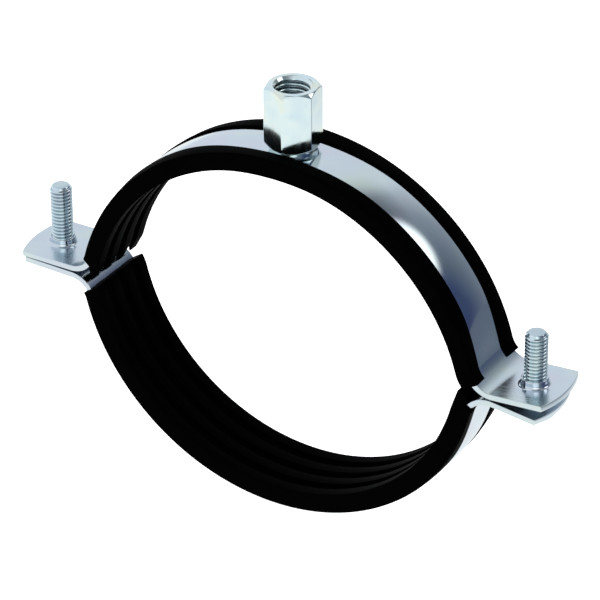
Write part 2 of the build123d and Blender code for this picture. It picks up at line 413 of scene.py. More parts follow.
def collar_rings():
    """Radius and depth of the collar's rings, from its foot on the ear over the rim and down the bore."""
    foot = COLLAR_BASE_RADIUS - COLLAR_RIM_RADIUS
    turn = np.linspace(0, pi / 2, 9)
    radius = [COLLAR_BASE_RADIUS - foot * np.sin(turn)]
    depth = [-foot * (1 - np.cos(turn))]
    rim = (COLLAR_RIM_RADIUS - COLLAR_BORE_RADIUS) / 2
    over = np.linspace(0, pi, 9)
    radius.append(COLLAR_RIM_RADIUS - rim * (1 - np.cos(over)))
    depth.append(-(COLLAR_HEIGHT - rim) - rim * np.sin(over))
    radius.append(np.array([COLLAR_BORE_RADIUS, FUNNEL_RADIUS]))
    depth.append(np.array([BAND_THICKNESS - FUNNEL_DEPTH, BAND_THICKNESS]))
    return np.concatenate(radius), np.concatenate(depth)


def hole_rings():
    """Radius and depth of a punched hole's rings, its two edges slightly rounded."""
    turn = np.linspace(0, pi / 2, 4)
    radius = EAR_HOLE_RADIUS + EDGE_ROUNDING * (1 - np.sin(turn))
    depth = EDGE_ROUNDING * (1 - np.cos(turn))
    return np.concatenate([radius, radius[::-1]]), np.concatenate([depth, BAND_THICKNESS - depth[::-1]])


def ear_start(half, side):
    """How far from the centre an ear has become straight, with a little to spare."""
    _, _, centre_x, _, _, splay = forming(half, side)
    return centre_x + BEND_RADIUS * sin(splay) + 0.2


def add_ear(shell, half, side, across, rings):
    """One ear: its rounded outline, two skins, and the rings of its collar or hole.

    A skin is spanned between the outline and the outermost ring, along straight lines towards the ring's
    centre: outline (1 - t) + ring t. across is the row of points at which the ear joins the bend.
    """
    inset, depth = edge_profile()
    outline, normals = ear_outline(half, side, ear_start(half, side))
    rim = outline[:, None, :] - normals[:, None, :] * inset[None, :, None]
    shell.grid(*strip_points(half, rim[..., 0], rim[..., 1], depth[None, :]))
    length = side * ear_length(half, side, ear_start(half, side))
    joint = np.stack([np.full(len(across) - 2, length), across[-2:0:-1]], axis=-1)
    loop = np.concatenate([rim[:, 0], joint, rim[:1, 0]])
    screw_reach = SCREW_X[side] - (side * CLOSED_SLIDE if half["lower"] else 0.0)
    centre = np.array([side * ear_length(half, side, screw_reach), 0.0])
    heading = loop - centre
    heading = heading / np.linalg.norm(heading, axis=1)[:, None]
    radius, ring_depth = rings
    share = np.linspace(0, 1, 9)[:, None, None]
    for level, r in ((0.0, radius[0]), (BAND_THICKNESS, radius[-1])):
        skin = loop[None] * (1 - share) + (centre + r * heading)[None] * share
        shell.grid(*strip_points(half, skin[..., 0], skin[..., 1], level))
    wall = centre + heading[None] * radius[:, None, None]
    shell.grid(*strip_points(half, wall[..., 0], wall[..., 1], ring_depth[:, None]))


def strip_shell(half, rings):
    """Half band as one closed shell: two skins and two rounded edges from ear to ear, and both ears."""
    shell = Shell()
    inset, depth = edge_profile()
    length = {side: side * ear_length(half, side, ear_start(half, side)) for side in (-1, 1)}
    bend_from = {side: side * forming(half, side)[0] for side in (-1, 1)}
    along = np.concatenate([
        np.linspace(length[-1], bend_from[-1] - 0.5, 30)[:-1],
        np.linspace(bend_from[-1] - 0.5, bend_from[1] + 0.5, 260)[:-1],
        np.linspace(bend_from[1] + 0.5, length[1], 30),
    ])
    skin_half = BAND_WIDTH / 2 - inset[0]
    across = np.linspace(-skin_half, skin_half, 17)
    for level in (0.0, BAND_THICKNESS):
        shell.grid(*strip_points(half, along[:, None], across[None, :], level))
    for edge in (-1, 1):
        y = edge * (BAND_WIDTH / 2 - inset)
        shell.grid(*strip_points(half, along[:, None], y[None, :], depth[None, :]))
    for side in (-1, 1):
        add_ear(shell, half, side, across, rings)
    return shell


# ---------------------------------------------------------------- rubber liners

def rounded(corners, steps=5):
    """Loop of points through corners given as (across, depth, radius), each rounded by an arc.

    The arc's centre lies on the corner's bisector, radius / sin(half angle) away. Its points swing from
    one spoke to the other: (first sin((1 - t) a) + last sin(t a)) / sin(a), with a the angle between them.
    """
    loop = []
    count = len(corners)
    for i, (x, y, radius) in enumerate(corners):
        here = np.array([x, y])
        back = np.array(corners[i - 1][:2]) - here
        ahead = np.array(corners[(i + 1) % count][:2]) - here
        back /= np.linalg.norm(back)
        ahead /= np.linalg.norm(ahead)
        if radius == 0:
            loop.append(here[None])
            continue
        half_angle = atan2(abs(back[0] * ahead[1] - back[1] * ahead[0]), float(back @ ahead)) / 2
        middle = here + (back + ahead) / np.linalg.norm(back + ahead) * radius / sin(half_angle)
        first = here + back * radius / tan(half_angle) - middle
        last = here + ahead * radius / tan(half_angle) - middle
        share = np.linspace(0, 1, steps)[:, None]
        swing = pi - 2 * half_angle
        spokes = first * np.sin((1 - share) * swing) + last * np.sin(share * swing)
        loop.append(middle + spokes / sin(swing))
    return np.concatenate(loop)


def liner_chains(half):
    """The rubber profile as chains of (across, depth) points that join end to end into one loop.

    base: from the front side wall round the ribbed base to the rear side wall, at pocket depth.
    rear and front: each lip from the outside round its tip to the strip's edge. pocket: round the strip.
    """
    side = LINER_WIDTH / 2
    floor = BAND_THICKNESS + half["liner_base"]
    pocket = BAND_THICKNESS + POCKET_GAP
    strip = BAND_WIDTH / 2 + POCKET_GAP
    base = [(-side, pocket, 0), (-side, floor, BASE_CORNER_RADIUS)]
    for step in (-1, 0, 1):
        for flank in (-1, 1):
            x = step * GROOVE_PITCH + flank * GROOVE_WIDTH / 2
            rib_top, rib_root = (x, floor, RIB_RADIUS), (x, floor - GROOVE_DEPTH, RIB_ROOT_RADIUS)
            base += [rib_top, rib_root] if flank < 0 else [rib_root, rib_top]
    base += [(side, floor, BASE_CORNER_RADIUS), (side, pocket, 0)]
    lips = {}
    for edge, mouth in LIP_MOUTH.items():
        root, tip = half["lips"][edge]
        lip = [(side, -POCKET_GAP, 0), (side, -root, LIP_RADIUS), ((side + mouth) / 2, -(root + tip) / 2, 0),
               (mouth, -tip, LIP_TIP_RADIUS), (mouth, -POCKET_GAP, 0)]
        lips[edge] = [(edge * x, y, r) for x, y, r in lip]
    ends = {"base": base, "rear": lips[1], "front": lips[-1][::-1]}
    chains = {name: rounded(corners) for name, corners in ends.items()}
    chains["rear_corner"] = np.array([[strip, -POCKET_GAP]])
    chains["front_corner"] = np.array([[-strip, -POCKET_GAP]])
    inner = np.linspace(strip, -strip, 12)
    chains["pocket"] = np.stack([inner, np.full_like(inner, pocket)], axis=-1)
    return chains


def liner_loop(chains):
    """The whole closed profile."""
    order = ("base", "rear", "rear_corner", "pocket", "front_corner", "front")
    return np.concatenate([chains[name] for name in order])


def liner_caps(chains):
    """Indices into the whole profile of its base, its rear lip with side wall and its front one."""
    base, rear, pocket = (len(chains[name]) for name in ("base", "rear", "pocket"))
    corner = base + rear
    far = corner + pocket + 1
    whole = np.arange(far + 1 + len(chains["front"]))
    return {
        "base": np.concatenate([whole[:base], whole[corner + 1:far]]),
        "rear": whole[base - 1:corner + 2],
        "front": np.concatenate([whole[far - 1:], whole[:1]]),
    }


def cut_lengths(half, side, cut, follows, loop):
    """Where each point of the profile, carried along the strip, meets the cut drawn in side view."""
    ring, _, _, _, tangent, _ = forming(half, side)
    reach = np.linspace(ring - 4.0, ring + 12.0, 800)
    places = carry(half, side * reach[:, None], loop[None, :, 0], loop[None, :, 1], follows)
    out = side * places[..., 0] * cos(tangent) + places[..., 2] * sin(tangent)
    past = side * places[..., 0] * sin(tangent) - places[..., 2] * cos(tangent)
    beyond = past - np.interp(out, [point[0] for point in cut], [point[1] for point in cut])
    first = np.argmax(beyond > 0, axis=0)
    column = np.arange(loop.shape[0])
    before, after = beyond[first - 1, column], beyond[first, column]
    return side * (reach[first - 1] + (reach[first] - reach[first - 1]) * before / (before - after))


def close_loop(points):
    """Repeat a loop's first column after its last."""
    return np.concatenate([points, points[:, :1]], axis=1)


def run(shell, half, loop, start, end, rows, follows=None):
    """Carry a closed profile from start to end lengths, evenly, and return its rows."""
    share = np.linspace(0, 1, rows)[:, None]
    along = np.asarray(start) * (1 - share) + np.asarray(end) * share
    along = np.broadcast_to(along, (rows, len(loop)))
    flat = np.stack(np.broadcast_arrays(along, loop[None, :, 0], loop[None, :, 1]), axis=-1)
    points = carry(half, along, loop[None, :, 0], loop[None, :, 1], follows)
    shell.grid(close_loop(points), close_loop(flat))
    return points, flat


def upper_liner_shell():
    """Upper liner: the profile carried round the half ring and into both bends.

    The left end leaves the bend early and is cut on a long slant, the right end is cut almost square.
    """
    shell = Shell()
    chains = liner_chains(UPPER_HALF)
    loop = liner_loop(chains)
    left = cut_lengths(UPPER_HALF, -1, UPPER_LEFT_CUT, UPPER_LEFT_FOLLOWS, loop)
    right = cut_lengths(UPPER_HALF, 1, UPPER_RIGHT_CUT, UPPER_RIGHT_FOLLOWS, loop)
    ring = forming(UPPER_HALF, -1)[0]
    left_ends = run(shell, UPPER_HALF, loop, left, -ring, 24, UPPER_LEFT_FOLLOWS)
    run(shell, UPPER_HALF, loop, -ring, ring, 230)
    right_ends = run(shell, UPPER_HALF, loop, ring, right, 24)
    for face in liner_caps(chains).values():
        shell.polygon(left_ends[0][0, face], left_ends[1][0, face])
        shell.polygon(right_ends[0][-1, face], right_ends[1][-1, face])
    return shell


def lower_liner_shell():
    """Lower liner. On the right its base stands up free while the lips and side walls follow the ear."""
    shell = Shell()
    chains = liner_chains(LOWER_HALF)
    loop = liner_loop(chains)
    caps = liner_caps(chains)
    ring = forming(LOWER_HALF, 1)[0]
    left = -ring - BEND_RADIUS * radians(LOWER_LEFT_FOLLOWS)
    leaves = ring + BEND_RADIUS * radians(TONGUE_LEAVES)
    points, flat = run(shell, LOWER_HALF, loop, left, -ring, 12)
    shell.polygon(points[0], flat[0])
    run(shell, LOWER_HALF, loop, -ring, ring, 230)
    run(shell, LOWER_HALF, loop, ring, leaves, 4)
    tongue_end = leaves + TONGUE_LENGTH
    points, flat = run(shell, LOWER_HALF, loop[caps["base"]], leaves, tongue_end, 12, TONGUE_LEAVES)
    shell.polygon(points[-1], flat[-1])
    lips_end = ring + BEND_RADIUS * radians(LOWER_RIGHT_LIPS_FOLLOW)
    for name in ("rear", "front"):
        points, flat = run(shell, LOWER_HALF, loop[caps[name]], leaves, lips_end, 8)
        shell.polygon(points[-1], flat[-1])
    return shell


# ---------------------------------------------------------------- threads, screws and boss

def thread_wave(turns, flat_share=0.12):
    """Height of a rolled thread from 0 at the root to 1 at the crest: a wave with flattened ends."""
    wave = 1 - 2 * np.abs(turns - np.floor(turns) - 0.5) * 2
    return 0.5 + 0.5 * np.sin(np.clip(wave * (1 + flat_share), -1, 1) * pi / 2)


def revolve(radius, height, angles, centre=(0.0, 0.0)):
    """Points at polar angles. radius and height are per ring, or per ring and angle."""
    radius = np.broadcast_to(radius if np.ndim(radius) == 2 else np.asarray(radius)[:, None],
                             (len(height), len(angles)))
    height = np.broadcast_to(height if np.ndim(height) == 2 else np.asarray(height)[:, None], radius.shape)
    x = centre[0] + radius * np.cos(angles)
    y = centre[1] + radius * np.sin(angles)
    return np.stack([x, y, height], axis=-1)


def head_line():
    """Radius and height of the pan head, from the shank outwards, over its edge and rim to its flat face.

    The dome's radius is R (1 - k (1 - cos t)) and its height sin t of the dome's, for t up to 90 degrees.
    """
    under = np.array([[SCREW_RADIUS - THREAD_DEPTH / 2, 0.0], [HEAD_RADIUS - HEAD_EDGE - 0.05, 0.0]])
    edge = np.array([[HEAD_RADIUS - HEAD_EDGE, 0.0], [HEAD_RADIUS - SOFT_EDGE, -SOFT_EDGE],
                     [HEAD_RADIUS, -HEAD_EDGE]])
    turn = np.linspace(0, 1, 14) * pi / 2
    dome_radius = HEAD_RADIUS * (1 - HEAD_TAPER * (1 - np.cos(turn)))
    dome = np.stack([dome_radius, -HEAD_RIM - (HEAD_HEIGHT - HEAD_RIM) * np.sin(turn)], axis=-1)
    return np.concatenate([under, edge, dome, [[0.0, -HEAD_HEIGHT]]])


def screw_mesh(side):
    """Pan head screw, head down. The shank's radius is the thread's wave, cut by the tip's cone."""
    centre = (side * SCREW_X[side], 0.0)
    angles = np.linspace(0, 2 * pi, 73)
    shell = Shell()

    def surface(radius, height):
        """Surface of revolution about the screw's axis, with heights from the head's bearing face."""
        shell.grid(revolve(radius, height, angles, centre) + [0, 0, HEAD_TOP[side]])

    z = np.arange(0.0, SCREW_LENGTH, SCREW_PITCH / 14)
    turns = z[:, None] / SCREW_PITCH - angles[None, :] / (2 * pi)
    shank = SCREW_RADIUS - THREAD_DEPTH * (1 - thread_wave(turns))
    run_out = np.clip(z / SCREW_RUN_OUT, 0, 1)[:, None]
    shank = shank * run_out + (SCREW_RADIUS - THREAD_DEPTH / 2) * (1 - run_out)
    tip = TIP_RADIUS + (SCREW_LENGTH - z) * (SCREW_RADIUS - TIP_RADIUS) / TIP_CHAMFER
    shank = np.minimum(shank, tip[:, None])
    surface(shank, z)
    cap_radius = np.array([1.0, 0.985, 0.95, 0.0]) * TIP_RADIUS
    cap_height = SCREW_LENGTH - TIP_EDGE + np.array([0.0, 0.05, TIP_EDGE, TIP_EDGE])
    last_ring = np.array([shank[-1], np.full(len(angles), cap_radius[0])])
    surface(last_ring, np.array([z[-1], cap_height[0]]))
    surface(cap_radius, cap_height)
    line = head_line()
    surface(line[:, 0], line[:, 1])
    return cut_drive(shell.mesh("screw", sharp=SCREW_SHARP_ANGLE), side)


def box_shell(length, width, depth, turn, centre, base):
    """A box for cutting, standing on base, turned about Z."""
    x = np.array([-1, 1, 1, -1]) * length / 2
    y = np.array([-1, -1, 1, 1]) * width / 2
    turned_x = centre[0] + x * cos(turn) - y * sin(turn)
    turned_y = centre[1] + x * sin(turn) + y * cos(turn)
    low = np.stack([turned_x, turned_y, np.full(4, base)], axis=-1)
    high = low + [0, 0, depth]
    shell = Shell()
    shell.grid(np.stack([np.concatenate([low, low[:1]]), np.concatenate([high, high[:1]])]))
    shell.polygon(low)
    shell.polygon(high)
    return shell


def cut_drive(mesh, side):
    """Cut the slot and the cross recess into the screw's head.

    The cutters differ by a hair in width and depth, so that no two of their faces lie in one plane.
    """
    piece = bpy.data.objects.new("blank", mesh)
    bpy.context.scene.collection.objects.link(piece)
    base = HEAD_TOP[side] - HEAD_HEIGHT - 1.0
    turn = radians(SLOT_TURN[side])
    centre = (side * SCREW_X[side], 0.0)
    cuts = [
        (3 * HEAD_RADIUS, SLOT_WIDTH, SLOT_DEPTH, turn),
        (CROSS_LENGTH, SLOT_WIDTH * 0.999, CROSS_DEPTH, turn),
        (CROSS_LENGTH, SLOT_WIDTH, CROSS_DEPTH - 0.01, turn + pi / 2),
    ]
    tools = []
    for length, width, depth, angle in cuts:
        shell = box_shell(length, width, depth + 1.0, angle, centre, base)
        tool = bpy.data.objects.new("tool", shell.mesh("tool"))
        bpy.context.scene.collection.objects.link(tool)
        step = piece.modifiers.new("cut", "BOOLEAN")
        step.operation = "DIFFERENCE"
        step.solver = "EXACT"
        step.object = tool
        tools.append(tool)
    bpy.context.view_layer.update()
    graph = bpy.context.evaluated_depsgraph_get()
    cut = bpy.data.meshes.new_from_object(piece.evaluated_get(graph))
    for thing in tools + [piece]:
        bpy.data.objects.remove(thing)
    cut.shade_smooth()
    cut.set_sharp_from_angle(angle=radians(SCREW_SHARP_ANGLE))
    return cut


def hexagon_columns():
    """Radius and angle of points round a hexagon with rounded corners, closed."""
    inner = BOSS_ACROSS_FLATS / 2 - BOSS_CORNER_RADIUS
    corner_reach = inner / cos(pi / 6)
    share = np.array([0.02, 0.1, 0.2, 0.3, 0.4, 0.5, 0.6, 0.7, 0.8, 0.9, 0.98])[:, None]
    points = []
    for corner in range(6):
        middle = radians(BOSS_TURN) + corner * pi / 3
        centre = corner_reach * np.array([cos(middle), sin(middle)])
        turn = middle + np.linspace(-pi / 6, pi / 6, 7)
        arc = centre + BOSS_CORNER_RADIUS * np.stack([np.cos(turn), np.sin(turn)], axis=-1)
        following = middle + pi / 3
        next_centre = corner_reach * np.array([cos(following), sin(following)])
        outward = middle + pi / 6
        end = next_centre + BOSS_CORNER_RADIUS * np.array([cos(outward), sin(outward)])
        points += [arc, arc[-1] * (1 - share) + end * share]
    points = np.concatenate(points)
    points = np.concatenate([points, points[:1]])
    angle = np.unwrap(np.arctan2(points[:, 1], points[:, 0]))
    return np.hypot(points[:, 0], points[:, 1]), angle


def boss_end(hexagon, top, sign):
    """Rings over one end of the hexagon, from the flat side over the chamfer to the end face.

    The chamfer is a cone, so its edge runs along (reach - BOSS_CHAMFER_RADIUS) tan(BOSS_CHAMFER_ANGLE)
    from the end, deepest on the hexagon's corners. sign is 1 at the top and -1 at the bottom.
    """
    slope = tan(radians(BOSS_CHAMFER_ANGLE))
    around = np.ones_like(hexagon)
    edge = top - sign * (hexagon - BOSS_CHAMFER_RADIUS) * slope
    return [
        (hexagon, edge - sign * 3 * SOFT_EDGE),
        (hexagon, edge - sign * SOFT_EDGE),
        (hexagon - SOFT_EDGE * 0.3, edge - sign * SOFT_EDGE * 0.2),
        (hexagon - SOFT_EDGE, edge + sign * SOFT_EDGE * slope),
        ((BOSS_CHAMFER_RADIUS + SOFT_EDGE / 2) * around, (top - sign * SOFT_EDGE * slope * 0.6) * around),
        ((BOSS_CHAMFER_RADIUS - SOFT_EDGE / 2) * around, top * around),
        ((BOSS_CHAMFER_RADIUS - 3 * SOFT_EDGE) * around, top * around),
    ]


def boss_outside(hexagon):
    """Rings of the boss's outside: weld spigot, bottom chamfer, flats, top chamfer and the mouth's edge."""
    around = np.ones_like(hexagon)
    foot = UPPER_HALF["skin_radius"] - SPIGOT_SINK
    spigot = [(0.0, foot), (SPIGOT_RADIUS, foot), (SPIGOT_RADIUS, BOSS_BASE - 0.1),
              (SPIGOT_RADIUS + 0.1, BOSS_BASE)]
    mouth = [(MOUTH_RADIUS + 0.12, BOSS_TOP), (MOUTH_RADIUS + 0.03, BOSS_TOP)]
    rings = [(radius * around, height * around) for radius, height in spigot]
    rings += boss_end(hexagon, BOSS_BASE, -1)[::-1] + boss_end(hexagon, BOSS_TOP, 1)
    rings += [(radius * around, height * around) for radius, height in mouth]
    return np.array([ring[0] for ring in rings]), np.array([ring[1] for ring in rings])


def boss_shell():
    """Hexagon boss: each column of points rises over the spigot and the flat, and goes down the thread.

    The bore's radius is the thread's wave, cut by the mouth's 45 degree countersink, and runs out at
    its flat bottom.
    """
    hexagon, angle = hexagon_columns()
    radius, height = boss_outside(hexagon)
    z = np.arange(BOSS_TOP - 0.03, THREAD_BOTTOM, -TAP_PITCH / 16)
    turns = z[:, None] / TAP_PITCH - angle[None, :] / (2 * pi)
    run_out = np.clip((z - THREAD_BOTTOM) / TAP_PITCH, 0, 1)[:, None]
    bore = TAP_RADIUS + TAP_DEPTH * run_out * thread_wave(turns)
    bore = np.maximum(bore, (MOUTH_RADIUS - (BOSS_TOP - z))[:, None])
    radius = np.concatenate([radius, bore, [np.zeros_like(angle)]])
    bore_height = np.broadcast_to(z[:, None], bore.shape)
    height = np.concatenate([height, bore_height, [np.full_like(angle, THREAD_BOTTOM)]])
    shell = Shell()
    shell.grid(revolve(radius, height, angle))
    return shell


# ---------------------------------------------------------------- materials

class NodeTree:
    """The nodes of a material or of the world, with a method for each kind that the finishes are made of.

    A method adds a node and returns the output that carries its result. What goes into it is a number,
    a colour or a vector, or the output of another node.
    """

    def __init__(self, tree):
        self.nodes = tree.nodes
        self.links = tree.links

    def fill(self, node, inputs):
        """Set or link inputs of a node, by their names or places."""
        for socket, value in inputs.items():
            if isinstance(value, bpy.types.NodeSocket):
                self.links.new(value, node.inputs[socket])
            else:
                node.inputs[socket].default_value = value

    def add(self, kind, inputs=None, output=0, **settings):
        """Any node: its settings first, because they decide which inputs it has."""
        node = self.nodes.new("ShaderNode" + kind)
        for name, value in settings.items():
            setattr(node, name, value)
        self.fill(node, inputs or {})
        return node.outputs[output]

    def spread(self, value, start, end, low=0.0, high=1.0, ease="LINEAR"):
        """low up to start, high from end on, and in between evenly or eased."""
        inputs = {"Value": value, "From Min": start, "From Max": end, "To Min": low, "To Max": high}
        return self.add("MapRange", inputs, "Result", interpolation_type=ease)

    def calculate(self, operation, first, second):
        """Two values added, multiplied or compared."""
        return self.add("Math", {0: first, 1: second}, operation=operation)

    def towards(self, vector, direction):
        """How far a vector reaches in a direction: their dot product."""
        return self.add("VectorMath", {0: vector, 1: direction}, "Value", operation="DOT_PRODUCT")

    def kept(self, name, output):
        """A value kept per point in the mesh."""
        return self.add("Attribute", output=output, attribute_name=name)

    def noise(self, place, scale, detail):
        """Soft noise, from 0 to 1."""
        return self.add("TexNoise", {"Vector": place, "Scale": scale, "Detail": detail}, "Fac")

    def bump(self, height, strength, distance):
        """Normal of a fine relief."""
        return self.add("Bump", {"Height": height, "Strength": strength, "Distance": distance})

    def ramp(self, value, tones):
        """Colour that runs through tones, each given as (value, colour)."""
        node = self.nodes.new("ShaderNodeValToRGB")
        elements = node.color_ramp.elements
        for _ in range(len(tones) - 2):
            elements.new(0.5)
        for element, (position, _) in zip(elements, tones):
            element.position = position
        for element, (_, colour) in zip(elements, tones):
            element.color = (*colour, 1)
        self.fill(node, {"Fac": value})
        return node.outputs["Color"]


def new_material(name):
    """A new material, its node tree and its shader."""
    material = bpy.data.materials.new(name)
    material.use_nodes = True
    tree = NodeTree(material.node_tree)
    return material, tree, tree.nodes["Principled BSDF"]


# Tints of the passivated plate, the painted shade tone of its thread roots, which also darkens the screws'
# tips, and the rubber's two blacks
LILAC, SKY, SEA = (0.68, 0.70, 0.78), (0.66, 0.74, 0.80), (0.70, 0.79, 0.76)
AQUA, ICE, STRAW = (0.68, 0.82, 0.87), (0.78, 0.89, 0.89), (0.87, 0.88, 0.72)
TINT_FIRST, TINT_LAST = 0.30, 0.72  # noise values of the first and the last tint
GROOVE_TONE = (0.09, 0.12, 0.16)
GROOVE_START = 0.3  # groove share from which the plate is darkened towards GROOVE_TONE, painted shade in the thread roots
GROOVE_DARKENING = 0.68  # how much of GROOVE_TONE a root takes on as painted shade
BURNISHED = 0.28  # share of its roughness that a fully burnished place keeps
FRESH_BLACK, WORN_BLACK = (0.0002, 0.0002, 0.0002), (0.0008, 0.0008, 0.0008)


def zinc(name, pattern, stretch, tint_scale, roughness, tints):
    """Bright zinc plate with a bluish passivation.

    The colour is soft clouds of faint tints, mixed with GROOVE_TONE where the groove share is high, which is
    painted shade in the thread roots and a darker end face on the screws' tips. The roughness follows fine
    lines, a noise scaled by stretch, times a factor that falls from 1 to BURNISHED with the burnish share.
    The pattern lies on the strip's flat blank or on the object itself.
    """
    material, tree, shader = new_material(name)
    if pattern == "flat":
        place = tree.kept("flat", "Vector")
    else:
        metres = tree.add("TexCoord", output="Object")
        place = tree.add("VectorMath", {0: metres, "Scale": 1 / METRES}, operation="SCALE")
    positions = np.linspace(TINT_FIRST, TINT_LAST, len(tints))
    clouds = tree.ramp(tree.noise(place, tint_scale, 2.0), list(zip(positions, tints)))
    # painted shade: the thread roots are darkened towards GROOVE_TONE, and the screws' tips as well
    darkening = tree.spread(tree.kept("groove", "Fac"), GROOVE_START, 1.0, 0.0, GROOVE_DARKENING)
    plate = {"Factor": darkening, "A": clouds, "B": (*GROOVE_TONE, 1)}
    lines = tree.noise(tree.add("Mapping", {"Vector": place, "Scale": stretch}), 1.0, 4.0)
    polish = tree.spread(tree.kept("burnish", "Fac"), 0.0, 1.0, 1.0, BURNISHED)
    tree.fill(shader, {
        "Metallic": 1.0,
        "Base Color": tree.add("Mix", plate, "Result", data_type="RGBA"),
        "Roughness": tree.calculate("MULTIPLY", tree.spread(lines, 0.3, 0.7, *roughness), polish),
        "Normal": tree.bump(lines, 0.06, 0.00003),
    })
    return material


def rubber():
    """Black extruded rubber: nearly matt, with fine lengthwise drag lines and a dusty grain."""
    material, tree, shader = new_material("black_rubber")
    place = tree.kept("flat", "Vector")
    drag = tree.noise(tree.add("Mapping", {"Vector": place, "Scale": (0.25, 3.0, 3.0)}), 1.0, 5.0)
    grain = tree.noise(place, 9.0, 3.0)
    tree.fill(shader, {
        "Base Color": tree.ramp(drag, ((0.35, FRESH_BLACK), (0.75, WORN_BLACK))),
        "Roughness": tree.spread(drag, 0.0, 1.0, 0.50, 0.62),
        "Specular IOR Level": 0.006,
        "Normal": tree.bump(tree.calculate("ADD", drag, grain), 0.25, 0.00004),
    })
    return material


band_zinc = zinc("bright_zinc_strip", "flat", (0.05, 2.2, 2.2), 0.07, (0.20, 0.28), (LILAC, SKY, SEA))
boss_zinc = zinc("bright_zinc_boss", "object", (1.2, 1.2, 0.25), 0.14, (0.08, 0.14), (AQUA, ICE, STRAW))
screw_zinc = zinc("bright_zinc_screw", "object", (1.5, 1.5, 1.5), 0.2, (0.10, 0.17), (SKY, AQUA, ICE))
black_rubber = rubber()

upper_steel = strip_shell(UPPER_HALF, collar_rings()).mesh("upper_strip")
lower_steel = strip_shell(LOWER_HALF, hole_rings()).mesh("lower_strip")
add_piece("upper_strip", mark_strip(upper_steel, True), band_zinc,
          "upper_half", "zinc_band", "upper_band")
add_piece("lower_strip", mark_strip(lower_steel, False), band_zinc,
          "lower_half", "zinc_band", "lower_band")
add_piece("upper_rubber", upper_liner_shell().mesh("upper_rubber"), black_rubber,
          "upper_half", "black_rubber", "upper_liner")
add_piece("lower_rubber", lower_liner_shell().mesh("lower_rubber"), black_rubber,
          "lower_half", "black_rubber", "lower_liner")
add_piece("threaded_boss", mark_boss(boss_shell().mesh("threaded_boss", sharp=50.0)), boss_zinc,
          "upper_half", "zinc_boss", "connection_boss")
add_piece("left_threaded_screw", mark_screw(screw_mesh(-1), -1), screw_zinc,
          "left_fastener", "zinc_screw", "left_screw")
add_piece("right_threaded_screw", mark_screw(screw_mesh(1), 1), screw_zinc,
          "right_fastener", "zinc_screw", "right_screw")


# ---------------------------------------------------------------- stage, lights and camera

FLOOR_REACH = 0.6
FLOOR_DROP = 0.0126  # clear of the lower half where the clamp is open
FLOOR_GREY = (0.86, 0.86, 0.86)
FLOOR_GLOW = 0.75  # what the floor adds to its own light to be white to the camera; 0 shows the shadow
FLOOR_TONES = ((0.0, (0.97, 1.0, 1.0)), (1.0, (0.14, 0.17, 0.22)))  # in reflections, from near to far right
FLOOR_DARK_SIDE = (0.9, 0.45, 0.0)  # direction in which the floor darkens, and from where to where
FLOOR_DARK_FROM, FLOOR_DARK_TO = 0.14, 0.30

GLOW_COLOUR = (0.96, 0.98, 1.0)
GLOW_STRENGTH = 0.55

# The room that reflections show, by direction: X to the right, Y to the back and Z up. Wall tones run
# from the left to the far right. A soft box is its middle's direction, the cosine at its edge, the cosine
# from which it is full, and its strength.
WALL_TONES = ((0.0, (0.80, 0.84, 0.90)), (0.36, (0.72, 0.77, 0.80)), (0.57, (0.30, 0.34, 0.38)),
              (0.76, (0.14, 0.17, 0.22)), (0.88, (0.05, 0.07, 0.15)))
SOFT_BOXES = (((0.589, 0.452, 0.67), 0.957, 0.990, 1.7), ((0.46, -0.74, 0.49), 0.90, 0.97, 0.9))
SOFT_BOX_COLOUR = (1.0, 0.99, 0.97)

# Lamps, which light but aren't seen in reflections: place, side length, power and colour
LAMPS = {
    "key": ((-0.55, 0.35, 1.1), 0.9, 9.0, (1.0, 1.0, 1.0)),
    "fill": ((0.9, -0.7, 0.6), 0.8, 4.0, (0.95, 0.98, 1.0)),
}


def floor():
    """Pale floor under the clamp.

    To the camera it is white, by a glow on top of its own light that covers the clamp's shadow too. In
    reflections it is as pale, and darkens towards FLOOR_DARK_SIDE, where the dark side of the room begins.
    """
    level = cad_box[0][2] - FLOOR_DROP
    corners = [(x * FLOOR_REACH, y * FLOOR_REACH, level) for x, y in ((-1, -1), (1, -1), (1, 1), (-1, 1))]
    mesh = bpy.data.meshes.new("floor")
    mesh.from_pydata(corners, [], [(0, 1, 2, 3)])
    material, tree, shader = new_material("pale_floor")
    tree.fill(shader, {"Base Color": (*FLOOR_GREY, 1), "Roughness": 0.9, "Specular IOR Level": 0.1})
    ray = tree.nodes.new("ShaderNodeLightPath")
    glow = tree.calculate("MULTIPLY", ray.outputs["Is Camera Ray"], FLOOR_GLOW)
    shown = tree.add("AddShader", {0: shader.outputs[0], 1: tree.add("Emission", {"Strength": glow})})
    far = tree.towards(tree.add("TexCoord", output="Object"), FLOOR_DARK_SIDE)
    tone = tree.ramp(tree.spread(far, FLOOR_DARK_FROM, FLOOR_DARK_TO), FLOOR_TONES)
    mirrored = tree.add("Emission", {"Color": tone})
    look = tree.add("MixShader", {0: ray.outputs["Is Glossy Ray"], 1: shown, 2: mirrored})
    tree.fill(tree.nodes["Material Output"], {"Surface": look})
    mesh.materials.append(material)
    piece = bpy.data.objects.new("floor", mesh)
    bpy.context.scene.collection.objects.link(piece)


def room_colour(tree, x, y):
    """Tone of the walls, by how far to the right they are, a quarter less so at the front."""
    sideways = tree.spread(x, -0.5, 0.9)
    behind = tree.spread(y, -0.3, 0.4, 0.75, 1.0)
    return tree.ramp(tree.calculate("MULTIPLY", sideways, behind), WALL_TONES)


def room_strength(tree, x, y, z):
    """How bright the walls are: 1, but 0.3 on the ceiling's far right and 0.15 straight above."""
    ceiling = tree.calculate("MULTIPLY", tree.spread(z, 0.6, 0.85), tree.spread(x, -0.2, 0.15))
    far_ceiling = tree.calculate("MULTIPLY", ceiling, tree.spread(y, 0.1, 0.4))
    open_air = tree.spread(far_ceiling, 0.0, 1.0, 1.0, 0.3)
    zenith = tree.spread(z, 0.93, 0.98, 1.0, 0.15)
    return tree.calculate("MULTIPLY", open_air, zenith)


